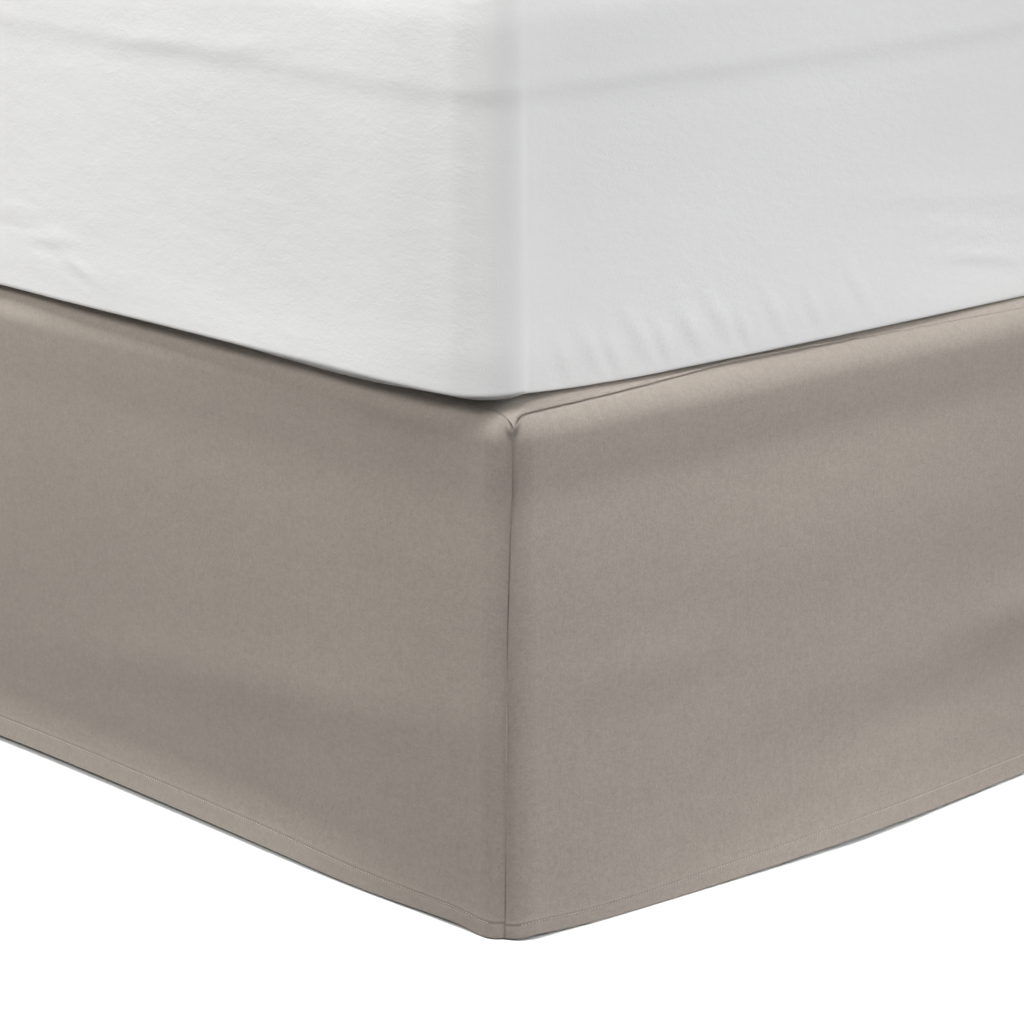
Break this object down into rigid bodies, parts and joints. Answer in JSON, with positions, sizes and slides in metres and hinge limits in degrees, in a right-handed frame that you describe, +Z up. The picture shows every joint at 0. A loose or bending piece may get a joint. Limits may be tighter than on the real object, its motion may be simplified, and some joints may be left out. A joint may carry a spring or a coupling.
{
  "type": "bed skirt on a bed base and mattress",
  "caption": "Tailored split-corner bed skirt hanging on three sides from a deck cloth between a bed base on legs and a mattress.",
  "frame": {"origin": "on the floor under the middle of the bed", "axes": "+Z up, -Y towards the foot of the bed, +X towards the right side as seen from the foot"},
  "size_m": [1.5529, 2.0335, 0.6636],
  "materials": {
    "skirt_cloth": "brushed microfibre, matt with a faint sheen",
    "mattress_cover": "plain white cotton sheet",
    "base_ticking": "plain matt ticking",
    "leg_wood": "dark satin stain"
  },
  "bodies": {
    "root": {"deck": "skirt_cloth", "drop_foot": "skirt_cloth", "drop_right": "skirt_cloth", "drop_left": "skirt_cloth", "mattress": "mattress_cover", "base": "base_ticking", "leg_left_1": "leg_wood", "leg_left_2": "leg_wood", "leg_left_3": "leg_wood", "leg_right_1": "leg_wood", "leg_right_2": "leg_wood", "leg_right_3": "leg_wood"}
  },
  "joints": []
}
